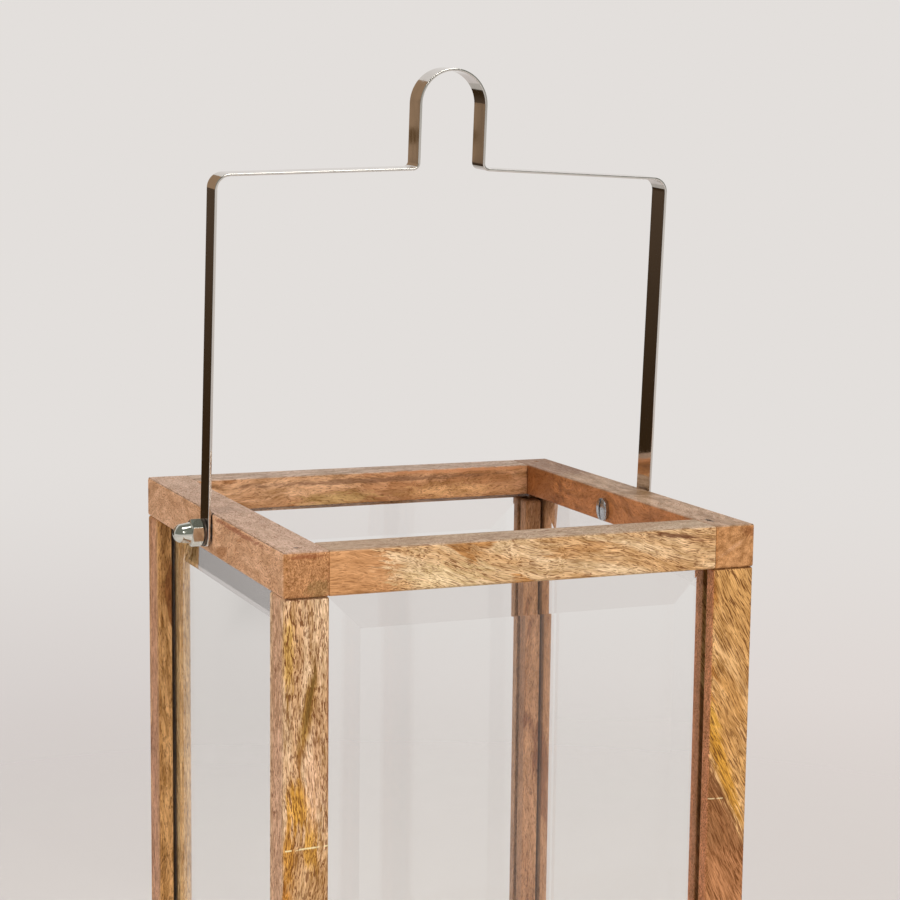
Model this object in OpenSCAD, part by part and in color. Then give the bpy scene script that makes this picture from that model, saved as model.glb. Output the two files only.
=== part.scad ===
// Square candle lantern: an open-topped wooden frame with four bevelled panes and a bent strap
// handle that swings on two bolts. Millimetres, +Z up, front towards -Y, origin at the middle
// of the face that it stands on.

/* [Body] */
// Width over the side rails
body_w = 200; // [160:1:300]
// Depth over the front and back rails
body_d = 200; // [160:1:300]
// Height of the wooden frame
body_h = 300; // [180:1:500]

/* [Wood] */
// Width of every rail, seen from above
rail_w = 18; // [17:0.5:24]
// Height of the top rails
top_rail_h = 17.5; // [17:0.5:30]
// Height of the base rails
base_rail_h = 17.5; // [16:0.5:40]
// Side of each square post
post_w = 18; // [17:0.5:24]
// How far the posts stand back from the frame's outer faces
post_inset = 0.3; // [0:0.1:1]
// Chamfer that eases the outer edges
edge_ease = 0.8; // [0.2:0.1:1.4]
// Radius of the top and base frames' upright corner edges
corner_r = 2; // [0.5:0.1:3]
// How much shorter the top rails' inner lips are than their outer lips
lip_cut = 3.3; // [0:0.1:4]

/* [Glass] */
// Thickness of the panes
glass_t = 4; // [3:0.1:5]
// Thickness of the panes at their bevelled edges
glass_edge_t = 2.2; // [1.5:0.1:2.8]
// Width of the bevel round each pane
bevel_w = 19; // [8:0.5:30]
// Depth of the grooves that hold the panes
groove_d = 5; // [4:0.1:5.5]
// From the frame's outer faces to the grooves
groove_in = 6.4; // [5:0.1:6.8]
// Gap on each face of a pane in its groove
glass_play = 0.2; // [0.1:0.05:0.4]
// Gap beside and above a pane in its grooves
glass_end_play = 0.5; // [0.2:0.1:1]

/* [Floor board] */
// Thickness of the floor board
floor_t = 6; // [4:0.5:8]
// Overlap of the board and the base rails
floor_rebate = 7; // [6:0.5:7]
// How far the board's underside stands above the resting face
floor_recess = 1; // [0.5:0.1:2]
// Gap round the board in its rebate
floor_play = 0.3; // [0.1:0.1:0.6]
// Diameter of the floor screws
screw_d = 2.5; // [2:0.1:3]
// Diameter of the floor screws' countersunk heads
screw_head_d = 4.6; // [4:0.1:5]
// Length of the floor screws
screw_l = 12; // [9:0.5:13]
// From each end of a side to its floor screws
screw_from_end = 45; // [30:1:60]

/* [Nails and dowels] */
// Diameter of the nails through the rails into the posts
nail_d = 1.6; // [1.2:0.1:2]
// Length of the nails
nail_l = 35; // [25:1:45]
// How deep the nails' heads are punched below the wood
nail_set = 0.8; // [0.4:0.1:2]
// How far the front right top nail was driven off its post's middle, sideways and back
nail_slip = 4.4; // [0:0.1:4.8]
// Diameter of the dowels between the rails
dowel_d = 4; // [3:0.5:4]
// Depth of the dowels in the side rails
dowel_in_side = 10; // [6:0.5:12]
// Depth of the dowels in the ends of the front and back rails
dowel_in_end = 14; // [8:0.5:20]
// From the frame's outer faces to the dowels' middle lines
dowel_from_face = 4.4; // [3.5:0.1:4.8]

/* [Handle] */
// Width of the strap
strap_w = 12; // [8:0.5:14]
// Thickness of the strap
strap_t = 1; // [0.8:0.1:1.6]
// Height of the run's upper face over the pivot, at the legs
run_end_h = 147; // [120:1:190]
// How much higher the run is at the loop than at the legs
run_rise = 3.3; // [0:0.1:8]
// Height of the hanging loop's top over the pivot
loop_top_h = 191; // [180:1:230]
// Width over the hanging loop
loop_w = 30; // [20:1:44]
// How far each leg leans inwards from the pivot up to the run
leg_lean_in = 0.68; // [0:0.01:0.7]
// Inside radius of the bends between the legs and the run
corner_bend_r = 5.5; // [2:0.5:10]
// Inside radius of the bends at the foot of the loop
foot_bend_r = 2; // [1:0.5:4]
// How far the handle leans to the front as it rests, in degrees
handle_lean = 3.9; // [0:0.1:10]

/* [Pivots] */
// From the top of the frame down to the pivot
pivot_drop = 8.7; // [7:0.1:8.8]
// Diameter of the pivot bolts
bolt_d = 6; // [5:0.1:6]
// Radial play of the strap on the bolts
strap_hole_play = 0.06; // [0.02:0.01:0.1]
// Radial play of the bolts in the rails and washers
bolt_play = 0.2; // [0.1:0.05:0.25]
// Diameter of the bolts' low round heads
head_d = 10; // [9:0.5:11]
// Height of the bolt heads
head_h = 2.6; // [2.2:0.1:3.4]
// Thickness of the bolt heads at their rims
head_rim_h = 1.7; // [0.8:0.1:2]
// Width of the slots in the bolt heads
slot_w = 1.2; // [1:0.1:1.8]
// Depth of the slots in the bolt heads
slot_depth = 1.3; // [0.8:0.1:1.6]
// Diameter of the washers under the nuts
washer_d = 11.5; // [11:0.5:13]
// Thickness of the washers under the nuts
washer_t = 1; // [0.8:0.1:1.6]
// Diameter of the spacers behind the strap
spacer_d = 10; // [9:0.5:12]
// Width over the flats of the nuts
hex_af = 10; // [9:0.5:11]
// Thickness of the spacers between the rails and the strap
spacer_t = 0.6; // [0.5:0.1:1.5]
// Gap on each face of the strap at the pivots
strap_play = 0.15; // [0.1:0.05:0.3]
// Height of the nuts' hexagon
nut_hex_h = 5; // [4:0.5:6]
// Diameter of the nuts' domes
nut_dome_d = 9.1; // [8.4:0.1:9.4]
// Height of the caps that close the nuts' domes
nut_cap_h = 3.7; // [2.5:0.1:4.5]
// Height of the nuts over all
nut_h = 12; // [11:0.5:14]
// Depth of the thread in the nuts
nut_bore_l = 8; // [7:0.5:8.5]

/* [Hidden] */

half_w = body_w / 2;
half_d = body_d / 2;
cut = 1;                  // How far a cutting shape runs past the wood
fit_play = 0.05;          // Radial play of nails, screws, dowels and threads in their holes
dowel_end_play = 0.5;     // Gap at each end of a dowel
chamfer_angle = 30;       // Chamfer on the corners of the nuts' hexagons
tip_ratio = 1.5;          // Length of a nail's or screw's point over its diameter
bend_steps = 10;          // Flats in a bend of the strap
loop_steps = 16;          // Flats in a quarter of the loop
dome_steps = 14;          // Bands in a nut's cap and in a bolt head's dome
corner_steps = 6;         // Flats in a round corner of the frames

// From the frame's outer faces to the posts' inner faces, and to the grooves' floors in them
post_in = post_inset + post_w;
post_groove = post_in - groove_d;
groove_w = glass_t + 2 * glass_play;
groove_z = base_rail_h - groove_d;
groove_top = body_h - top_rail_h + groove_d;
pane_h = groove_top - glass_end_play - groove_z;
pane_in = groove_in + glass_play + glass_t;
lip_in = groove_in + groove_w;
nail_in = post_inset + post_w / 2;
floor_in = rail_w - floor_rebate;
floor_top = floor_recess + floor_t;
screw_in = rail_w - floor_rebate / 2;
pivot_z = body_h - pivot_drop;
hex_r = hex_af / 2 / cos(30);

// Outwards from a side rail's outer face: the strap's middle, and the seats of washer and nut
strap_mid = spacer_t + strap_play + strap_t / 2;
washer_seat = spacer_t + 2 * strap_play + strap_t;
nut_seat = washer_seat + washer_t;
bolt_end = nut_seat + nut_bore_l - dowel_end_play;

wood_gold = [0.79, 0.61, 0.41];
wood_brown = [0.72, 0.5, 0.32];
wood_floor = [0.74, 0.56, 0.38];
glass_tint = [0.84, 0.9, 0.88, 0.35];
nickel = [0.75, 0.75, 0.74];
steel = [0.6, 0.6, 0.6];

function unit(angle) = [cos(angle), sin(angle)];

// Points of a bend of the strap's middle line, each with its heading, where a line that runs at
// angle from meets a line that runs at angle to in corner
function bend(corner, from, to, r, steps) =
    let (turn = to - from)
    let (middle = corner + sign(turn) * r / cos(turn / 2) * unit((from + to) / 2 + 90))
    [for (i = [0:steps])
        let (heading = from + turn * i / steps)
        [middle - sign(turn) * r * unit(heading + 90), heading]];

// The strap's middle line from the left leg's foot to the top of the loop
leg_top = [-(half_w + strap_mid - leg_lean_in), run_end_h - strap_t / 2];
loop_foot = [-(loop_w - strap_t) / 2, run_end_h + run_rise - strap_t / 2];
loop_corner = [loop_foot[0], loop_top_h - strap_t / 2];
leg_angle = atan2(leg_top[1], leg_lean_in);
run_angle = atan2(loop_foot[1] - leg_top[1], loop_foot[0] - leg_top[0]);
leg_foot = leg_top - (leg_top[1] + strap_w) / sin(leg_angle) * unit(leg_angle);
half_path = concat(
    [[leg_foot, leg_angle]],
    bend(leg_top, leg_angle, run_angle, corner_bend_r + strap_t / 2, bend_steps),
    bend(loop_foot, run_angle, 90, foot_bend_r + strap_t / 2, bend_steps),
    bend(loop_corner, 90, 0, -loop_foot[0], loop_steps)
);
last = len(half_path) - 1;
strap_path = concat(
    half_path,
    [for (i = [last - 1:-1:0]) [[-half_path[i][0][0], half_path[i][0][1]], -half_path[i][1]]]
);

// One edge of the strap, seen from the front, at a distance from its middle line
function strap_edge(path, off) = [for (p = path) p[0] + off * unit(p[1] + 90)];

function reversed(list) = [for (i = [len(list) - 1:-1:0]) list[i]];

function eased(w, h, e) = [
    [e - w / 2, -h / 2], [w / 2 - e, -h / 2], [w / 2, e - h / 2], [w / 2, h / 2 - e],
    [w / 2 - e, h / 2], [e - w / 2, h / 2], [-w / 2, h / 2 - e], [-w / 2, e - h / 2]
];

// A rectangle with round corners, as points
function rounded(w, d, r) = [
    for (corner = [0:3])
        for (i = [0:corner_steps])
            let (middle = [(corner % 3 == 0 ? 1 : -1) * (w / 2 - r), (corner < 2 ? 1 : -1) * (d / 2 - r)])
            middle + r * unit(90 * (corner + i / corner_steps))
];

// A block of wood, standing on z = 0: children() give its outline seen from above, and the
// edges at its top and bottom are eased
module eased_block(w, d, h) {
    translate([0, 0, h / 2]) intersection() {
        linear_extrude(h, center = true) children();
        rotate([90, 0, 0]) linear_extrude(d, center = true) polygon(eased(w, h, edge_ease));
        rotate([90, 0, 90]) linear_extrude(w, center = true) polygon(eased(d, h, edge_ease));
    }
}

module frame_block(h) {
    eased_block(body_w, body_d, h) polygon(rounded(body_w, body_d, corner_r));
}

module mirror_x(on) {
    if (on) mirror([1, 0, 0]) children();
    else children();
}

module mirror_y(on) {
    if (on) mirror([0, 1, 0]) children();
    else children();
}

// At each of the frame's four corners: moved in from both outer faces, with +x and +y inwards
module at_corner(right, back, in_x, in_y) {
    mirror_x(right) mirror_y(back) translate([in_x - half_w, in_y - half_d, 0]) children();
}

module at_corners(in_x, in_y) {
    for (right = [false, true])
        for (back = [false, true])
            at_corner(right, back, in_x, in_y) children();
}

// On the left pivot's axis: z = 0 is the rail's outer face, +z points outwards and +x up
module at_pivot(right) {
    mirror_x(right) translate([-half_w, 0, pivot_z]) rotate([0, -90, 0]) children();
}

module pane(w) {
    intersection() {
        linear_extrude(pane_h) polygon([
            [-w / 2, 0], [-w / 2, -glass_edge_t], [bevel_w - w / 2, -glass_t],
            [w / 2 - bevel_w, -glass_t], [w / 2, -glass_edge_t], [w / 2, 0]
        ]);
        rotate([90, 0, 90]) linear_extrude(w, center = true) polygon([
            [0, 0], [-glass_edge_t, 0], [-glass_t, bevel_w],
            [-glass_t, pane_h - bevel_w], [-glass_edge_t, pane_h], [0, pane_h]
        ]);
    }
}

// A pane, or the slot for it, between two posts that stand across along the side's width
module front_pane() {
    color(glass_tint) translate([0, pane_in - half_d, groove_z])
        pane(body_w - 2 * (post_groove + glass_end_play));
}

module side_pane() {
    color(glass_tint) rotate([0, 0, -90]) translate([0, pane_in - half_w, groove_z])
        pane(body_d - 2 * (post_groove + glass_end_play));
}

module pane_slots() {
    for (back = [false, true])
        mirror_y(back) translate([post_groove - half_w, groove_in - half_d, groove_z])
            cube([body_w - 2 * post_groove, groove_w, groove_top - groove_z]);
    for (right = [false, true])
        mirror_x(right) translate([groove_in - half_w, post_groove - half_d, groove_z])
            cube([groove_w, body_d - 2 * post_groove, groove_top - groove_z]);
}

module nail(play) {
    r = nail_d / 2 + play;
    tip = nail_d * tip_ratio;
    translate([0, 0, nail_set - (play > 0 ? nail_set + cut : 0)])
        cylinder(r = r, h = nail_l - tip + (play > 0 ? nail_set + cut : 0), $fn = 32);
    translate([0, 0, nail_set + nail_l - tip]) cylinder(r1 = r, r2 = 0.1 + play, h = tip, $fn = 32);
}

// Nails driven down through the top rails, or up through the base rails, into the posts
module top_nail_set(play) {
    for (right = [false, true])
        for (back = [false, true]) {
            slip = right && !back ? nail_slip : 0;
            at_corner(right, back, nail_in + slip, nail_in + slip)
                translate([0, 0, body_h]) mirror([0, 0, 1]) nail(play);
        }
}

module base_nail_set(play) {
    at_corners(nail_in, nail_in) nail(play);
}

// Dowels along x between the side rails and the ends of the front and back rails
module dowel_set(z, play) {
    end = play > 0 ? dowel_end_play : 0;
    at_corners(rail_w - dowel_in_side - end, dowel_from_face) translate([0, 0, z])
        rotate([0, 90, 0])
            cylinder(d = dowel_d + 2 * play, h = dowel_in_side + dowel_in_end + 2 * end, $fn = 32);
}

top_dowel_z = body_h - (top_rail_h - groove_d) / 2;
base_dowel_z = groove_z / 2;

module floor_screw(play) {
    r = screw_d / 2 + play;
    head_r = screw_head_d / 2 + play;
    tip = screw_d * tip_ratio;
    translate([0, 0, -play]) cylinder(r1 = head_r + play, r2 = r, h = head_r + 2 * play - r, $fn = 32);
    cylinder(r = r, h = screw_l - tip, $fn = 32);
    translate([0, 0, screw_l - tip]) cylinder(r1 = r, r2 = 0.1 + play, h = tip, $fn = 32);
}

module floor_screw_set(play) {
    at_corners(screw_from_end, screw_in) translate([0, 0, floor_recess]) floor_screw(play);
    at_corners(screw_in, screw_from_end) translate([0, 0, floor_recess]) floor_screw(play);
}

module floor_pocket() {
    translate([floor_in - half_w, floor_in - half_d, -cut])
        cube([body_w - 2 * floor_in, body_d - 2 * floor_in, floor_top + cut]);
}

module pivot_bores(r) {
    for (right = [false, true])
        at_pivot(right) translate([0, 0, -rail_w - cut]) cylinder(r = r, h = rail_w + 2 * cut, $fn = 48);
}

module top_cuts() {
    pane_slots();
    translate([lip_in - half_w, lip_in - half_d, body_h - top_rail_h - cut])
        cube([body_w - 2 * lip_in, body_d - 2 * lip_in, lip_cut + cut]);
    top_nail_set(fit_play);
    dowel_set(top_dowel_z, fit_play);
    pivot_bores(bolt_d / 2 + bolt_play);
}

module base_cuts() {
    pane_slots();
    floor_pocket();
    base_nail_set(fit_play);
    dowel_set(base_dowel_z, fit_play);
    floor_screw_set(fit_play);
}

// The bars that a frame is cut into: side rails run its whole depth, the others fit between them
module side_bar(h) {
    translate([-half_w, -half_d, 0]) cube([rail_w, body_d, h]);
}

module end_bar(h) {
    translate([rail_w - half_w, -half_d, 0]) cube([body_w - 2 * rail_w, rail_w, h]);
}

module top_rail() {
    difference() {
        translate([0, 0, body_h - top_rail_h]) intersection() {
            frame_block(top_rail_h);
            children();
        }
        top_cuts();
    }
}

module base_rail() {
    difference() {
        intersection() {
            frame_block(base_rail_h);
            children();
        }
        base_cuts();
    }
}

module top_left_rail() {
    color(wood_brown) top_rail() side_bar(top_rail_h);
}

module top_right_rail() {
    color(wood_brown) top_rail() mirror([1, 0, 0]) side_bar(top_rail_h);
}

module top_front_rail() {
    color(wood_gold) top_rail() end_bar(top_rail_h);
}

module top_back_rail() {
    color(wood_gold) top_rail() mirror([0, 1, 0]) end_bar(top_rail_h);
}

module base_left_rail() {
    color(wood_brown) base_rail() side_bar(base_rail_h);
}

module base_right_rail() {
    color(wood_brown) base_rail() mirror([1, 0, 0]) side_bar(base_rail_h);
}

module base_front_rail() {
    color(wood_gold) base_rail() end_bar(base_rail_h);
}

module base_back_rail() {
    color(wood_gold) base_rail() mirror([0, 1, 0]) end_bar(base_rail_h);
}

module post(right, back) {
    color(wood_gold) difference() {
        at_corner(right, back, nail_in, nail_in) translate([0, 0, base_rail_h])
            eased_block(post_w, post_w, body_h - base_rail_h - top_rail_h)
                polygon(eased(post_w, post_w, edge_ease));
        pane_slots();
        top_nail_set(fit_play);
        base_nail_set(fit_play);
    }
}

module post_front_left() {
    post(false, false);
}

module post_front_right() {
    post(true, false);
}

module post_back_left() {
    post(false, true);
}

module post_back_right() {
    post(true, true);
}

module floor_board() {
    in = floor_in + floor_play;
    color(wood_floor) difference() {
        translate([in - half_w, in - half_d, floor_recess])
            cube([body_w - 2 * in, body_d - 2 * in, floor_t]);
        floor_screw_set(fit_play);
    }
}

module front_glass() {
    front_pane();
}

module back_glass() {
    mirror([0, 1, 0]) front_pane();
}

module left_glass() {
    side_pane();
}

module right_glass() {
    mirror([1, 0, 0]) side_pane();
}

// The strap, seen from the front with the pivot axis at the origin
module strap() {
    outline = concat(strap_edge(strap_path, strap_t / 2), reversed(strap_edge(strap_path, -strap_t / 2)));
    difference() {
        intersection() {
            rotate([90, 0, 0]) linear_extrude(strap_w + 2 * cut, center = true) polygon(outline);
            rotate([90, 0, 90]) linear_extrude(body_w + 4 * strap_w, center = true) union() {
                circle(d = strap_w, $fn = 64);
                translate([-strap_w / 2, 0]) square([strap_w, loop_top_h + cut]);
            }
        }
        rotate([0, 90, 0])
            cylinder(r = bolt_d / 2 + strap_hole_play, h = body_w + 4 * strap_w, center = true, $fn = 64);
    }
}

module handle() {
    color(nickel) translate([0, 0, pivot_z]) rotate([handle_lean, 0, 0]) strap();
}

// A hexagon with its corners chamfered at both ends
module hexagon(h) {
    out = hex_af / 2 + 2 * edge_ease;
    slope = 2 * edge_ease * tan(chamfer_angle);
    intersection() {
        cylinder(r = hex_r, h = h, $fn = 6);
        rotate_extrude($fn = 64) polygon([
            [0, 0], [hex_af / 2, 0], [out, slope], [out, h - slope], [hex_af / 2, h], [0, h]
        ]);
    }
}

// A low round head with a slot along x, standing on z = 0
module slotted_head() {
    dome_h = head_h - head_rim_h;
    ball_r = (head_d * head_d / 4 + dome_h * dome_h) / (2 * dome_h);
    edge_angle = asin(head_d / 2 / ball_r);
    profile = [for (i = [0:dome_steps]) let (a = edge_angle * i / dome_steps)
        [ball_r * sin(a), head_h - ball_r * (1 - cos(a))]];
    difference() {
        rotate_extrude($fn = 64) polygon(concat([[0, 0]], profile, [[head_d / 2, 0]]));
        translate([-head_d, -slot_w / 2, head_h - slot_depth])
            cube([2 * head_d, slot_w, slot_depth + cut]);
    }
}

module pivot_bolt() {
    color(nickel) union() {
        translate([0, 0, -rail_w]) mirror([0, 0, 1]) slotted_head();
        translate([0, 0, -rail_w]) cylinder(d = bolt_d, h = rail_w + bolt_end, $fn = 48);
    }
}

// A hexagon with a dome on it: a straight neck, then a cap that is a little flatter than half
// a ball
module acorn_nut() {
    dome_r = nut_dome_d / 2;
    neck_h = nut_h - nut_hex_h - nut_cap_h;
    profile = [for (i = [0:dome_steps]) let (a = 90 * i / dome_steps)
        [dome_r * cos(a), neck_h + nut_cap_h * sin(a)]];
    color(nickel) translate([0, 0, nut_seat]) difference() {
        union() {
            hexagon(nut_hex_h);
            translate([0, 0, nut_hex_h]) rotate_extrude($fn = 64)
                polygon(concat([[0, 0], [dome_r, 0]], profile));
        }
        translate([0, 0, -cut]) cylinder(r = bolt_d / 2 + fit_play, h = nut_bore_l + cut, $fn = 48);
    }
}

module washer(z, thick, d) {
    color(nickel) translate([0, 0, z]) difference() {
        cylinder(d = d, h = thick, $fn = 64);
        translate([0, 0, -cut])
            cylinder(r = bolt_d / 2 + bolt_play, h = thick + 2 * cut, $fn = 48);
    }
}

module left_pivot_bolt() {
    at_pivot(false) pivot_bolt();
}

module right_pivot_bolt() {
    at_pivot(true) pivot_bolt();
}

module left_acorn_nut() {
    at_pivot(false) acorn_nut();
}

module right_acorn_nut() {
    at_pivot(true) acorn_nut();
}

module left_nut_washer() {
    at_pivot(false) washer(washer_seat, washer_t, washer_d);
}

module right_nut_washer() {
    at_pivot(true) washer(washer_seat, washer_t, washer_d);
}

module left_spacer() {
    at_pivot(false) washer(0, spacer_t, spacer_d);
}

module right_spacer() {
    at_pivot(true) washer(0, spacer_t, spacer_d);
}

module top_nails() {
    color(steel) top_nail_set(0);
}

module base_nails() {
    color(steel) base_nail_set(0);
}

module top_dowels() {
    color(wood_floor) dowel_set(top_dowel_z, 0);
}

module base_dowels() {
    color(wood_floor) dowel_set(base_dowel_z, 0);
}

module floor_screws() {
    color(steel) floor_screw_set(0);
}

top_left_rail();
top_right_rail();
top_front_rail();
top_back_rail();
base_left_rail();
base_right_rail();
base_front_rail();
base_back_rail();
post_front_left();
post_front_right();
post_back_left();
post_back_right();
floor_board();
front_glass();
back_glass();
left_glass();
right_glass();
handle();
left_pivot_bolt();
right_pivot_bolt();
left_acorn_nut();
right_acorn_nut();
left_nut_washer();
right_nut_washer();
left_spacer();
right_spacer();
top_nails();
base_nails();
top_dowels();
base_dowels();
floor_screws();
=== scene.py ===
# Square candle lantern: oiled mango wood, four bevelled panes and a bent metal strap.
# Everything is in metres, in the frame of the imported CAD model, with the front towards -Y.
import math

import bmesh
import bpy
from mathutils import Euler, Matrix, Vector


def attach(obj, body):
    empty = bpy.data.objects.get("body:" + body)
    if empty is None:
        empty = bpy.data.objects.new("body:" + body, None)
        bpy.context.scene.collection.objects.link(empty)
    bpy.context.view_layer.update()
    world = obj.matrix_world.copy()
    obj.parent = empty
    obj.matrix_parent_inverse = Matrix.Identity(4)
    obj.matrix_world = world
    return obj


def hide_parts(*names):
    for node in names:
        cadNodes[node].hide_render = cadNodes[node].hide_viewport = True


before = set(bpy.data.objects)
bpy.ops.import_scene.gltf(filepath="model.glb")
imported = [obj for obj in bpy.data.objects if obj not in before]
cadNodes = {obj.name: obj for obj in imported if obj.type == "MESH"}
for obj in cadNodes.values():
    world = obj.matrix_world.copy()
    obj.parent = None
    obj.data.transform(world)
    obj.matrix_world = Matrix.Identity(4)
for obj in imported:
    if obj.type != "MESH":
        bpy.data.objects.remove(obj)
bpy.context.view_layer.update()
mm = 0.001
print("stage: CAD frame loaded,", len(cadNodes), "nodes")


def newMaterial(name):
    material = bpy.data.materials.new(name)
    material.use_nodes = True
    tree = material.node_tree
    shader = tree.nodes["Principled BSDF"]
    return material, tree, shader


def addNode(tree, kind, inputs=None, **settings):
    node = tree.nodes.new(kind)
    for key, value in settings.items():
        setattr(node, key, value)
    for key, value in (inputs or {}).items():
        if isinstance(value, bpy.types.NodeSocket):
            tree.links.new(value, node.inputs[key])
        else:
            node.inputs[key].default_value = value
    return node


def doMath(tree, operation, a, b=0.0, c=0.0):
    return addNode(tree, "ShaderNodeMath", {0: a, 1: b, 2: c}, operation=operation).outputs[0]


def remap(tree, value, fromLow, fromHigh, toLow=0.0, toHigh=1.0):
    inputs = {
        "Value": value, "From Min": fromLow, "From Max": fromHigh,
        "To Min": toLow, "To Max": toHigh,
    }
    node = addNode(tree, "ShaderNodeMapRange", inputs, interpolation_type="SMOOTHSTEP")
    return node.outputs["Result"]


def mixColour(tree, share, a, b, blend="MIX"):
    node = addNode(tree, "ShaderNodeMix", data_type="RGBA", blend_type=blend)
    for socket, value in zip((node.inputs[0], node.inputs[6], node.inputs[7]), (share, a, b)):
        if isinstance(value, bpy.types.NodeSocket):
            tree.links.new(value, socket)
        elif isinstance(value, (tuple, list)):
            socket.default_value = (*value, 1.0)
        else:
            socket.default_value = value
    return node.outputs[2]


def vector(tree, operation, a, b=(0.0, 0.0, 0.0), c=(0.0, 0.0, 0.0)):
    inputs = {0: a, 1: b, 2: c}
    return addNode(tree, "ShaderNodeVectorMath", inputs, operation=operation).outputs[0]


def stretch(tree, place, scale):
    return vector(tree, "MULTIPLY", place, scale)


def noise(tree, place, scale, detail=2.0, roughness=0.5, output="Fac"):
    inputs = {"Vector": place, "Scale": scale, "Detail": detail, "Roughness": roughness}
    return addNode(tree, "ShaderNodeTexNoise", inputs).outputs[output]


def hexColour(text):
    # sRGB written as six hex digits, turned into the linear values that shaders use
    parts = [int(text[i:i + 2], 16) / 255 for i in (0, 2, 4)]
    return tuple(p / 12.92 if p <= 0.04045 else ((p + 0.055) / 1.055) ** 2.4 for p in parts)


# The mango wood's figure: size across the grain and along it, then detail and roughness
woodGrain = {
    "bands": (9.0 * mm, 80.0 * mm, 3.0, 0.6),       # soft bands of colour
    "clouds": (16.0 * mm, 60.0 * mm, 2.0, 0.55),    # darker heartwood
    "mottle": (4.0 * mm, 16.0 * mm, 2.0, 0.5),      # lighter and darker places
    "flames": (1.3 * mm, 13.0 * mm, 3.0, 0.6),      # streaks that break the edge of every colour
}

# Waves of the grain: how many a metre, their detail, and how far they push it aside
grainWaves = ((11.0, 1.0, 0.035), (60.0, 2.0, 0.006))

# What a board has where its own entry says nothing else
plainBoard = {
    "wander": 1.0, "slant": 0.0, "sweeps": (),
    "deepFrom": 0.52,                                # lower shows more heartwood
    "fibreSize": (0.42 * mm, 4.5 * mm),
    "fibre": 0.18, "streak": 0.14, "mottle": 0.12,   # how far each lightens and darkens
    "grit": 0.03, "endGrit": 0.22,                   # speckle, and what a sawn end adds to it
    "pores": (0.75 * mm, 3.2 * mm),
    "poreFrom": 0.55, "poreDark": 0.6, "crispShare": 0.5,
    "patches": (), "stains": (), "sawMarks": (),
}

# Where in its noise each change begins and ends
contrast = {
    "bands": (0.36, 0.64), "cloudEdge": (0.3, 0.7), "figure": (0.32, 0.68),
    "speckle": (0.34, 0.66), "sawnEnd": (0.6, 0.9),
    "cloudSpan": 0.16, "cloudFlames": 1.2,
}

# Open pores are ragged dashes, with crisper and darker cells among them
poreShape = {
    "stretch": 1.2, "flames": 0.16, "span": 0.06,
    "radius": 0.20, "spread": 0.16, "edge": (-0.04, 0.08),   # of the crisp ones, in cells
    "inPale": 0.75, "inBands": 0.35,                         # how dark, by the band they lie in
    "crispDark": 1.35, "darkest": 0.95,
}

woodFinish = {
    "warmth": (0.85, 1.0, 1.3),      # dark fibres lose most of their blue
    "speckle": 0.8 * mm, "calming": 0.75,
    "roughness": 0.34, "fibreRough": 0.16, "poreRough": 0.2,
    "poreDepth": 0.05 * mm, "fibreRelief": 0.15, "relief": 0.8,
    "ior": 1.5, "shine": 0.22,
}

grainTurn = {
    "x": (0.0, math.radians(-90), 0.0),
    "y": (math.radians(90), 0.0, 0.0),
    "z": (0.0, 0.0, 0.0),
}


def sweptPlace(tree, place, sweeps):
    # Between two places along a board the grain drifts across it.
    split = addNode(tree, "ShaderNodeSeparateXYZ", {0: place}).outputs
    for alongAxis, start, end, acrossAxis, shift in sweeps:
        drift = remap(tree, split["xyz".index(alongAxis)], start, end, 0.0, shift)
        axis = tuple(float(letter == acrossAxis) for letter in "xyz")
        place = vector(tree, "MULTIPLY_ADD", drift, axis, place)
    return place


patchCore = 0.4    # a patch is whole within this share of its reach


def patchShare(tree, place, patch, flames):
    # A colour seen on this board alone: an ellipsoid, or all that lies beyond a plane. The
    # grain breaks its edge into flames.
    offset = vector(tree, "SUBTRACT", place, patch["at"])
    if "beyond" in patch:
        aim = Vector(patch["beyond"]).normalized() / patch["soft"]
        node = addNode(tree, "ShaderNodeVectorMath", {0: offset, 1: aim}, operation="DOT_PRODUCT")
        reach = doMath(tree, "MULTIPLY_ADD", node.outputs["Value"], -1.0, (1 + patchCore) / 2)
    else:
        if patch["turn"]:
            offset = addNode(
                tree, "ShaderNodeVectorRotate",
                {"Vector": offset, "Angle": math.radians(patch["turn"])}, rotation_type="Y_AXIS",
            ).outputs[0]
        scaled = stretch(tree, offset, tuple(1 / size for size in patch["size"]))
        node = addNode(tree, "ShaderNodeVectorMath", {0: scaled}, operation="LENGTH")
        reach = node.outputs["Value"]
    reach = doMath(tree, "MULTIPLY_ADD", flames, patch["ragged"], reach)
    share = remap(tree, reach, 1.0, patch.get("core", patchCore))
    return doMath(tree, "MULTIPLY", share, patch["share"])


sawCut = {
    "perMetre": 420.0, "gaps": (0.36, 0.48),    # the noise that breaks the line
    "front": (-0.0988, -0.0994),                # only the posts' front faces carry it
    "softEdge": 0.3, "softEnd": 0.8,
}


def sawMark(tree, place, mark):
    # a thin pale line left across the face, broken in places
    split = addNode(tree, "ShaderNodeSeparateXYZ", {0: place}).outputs
    height = doMath(tree, "MULTIPLY_ADD", split[0], -mark["slope"], split[2])
    level = mark["z"] - mark["slope"] * mark["x"]
    off = doMath(tree, "ABSOLUTE", doMath(tree, "SUBTRACT", height, level))
    line = remap(tree, off, mark["width"], mark["width"] * sawCut["softEdge"])
    broken = remap(tree, noise(tree, place, sawCut["perMetre"], 1.0), *sawCut["gaps"])
    fromMiddle = doMath(tree, "ABSOLUTE", doMath(tree, "SUBTRACT", split[0], mark["x"]))
    ends = remap(tree, fromMiddle, mark["reach"], mark["reach"] * sawCut["softEnd"])
    ends = doMath(tree, "MULTIPLY", ends, remap(tree, split[1], *sawCut["front"]))
    line = doMath(tree, "MULTIPLY", line, doMath(tree, "MULTIPLY", broken, ends))
    return doMath(tree, "MULTIPLY", line, mark["share"])


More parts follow.
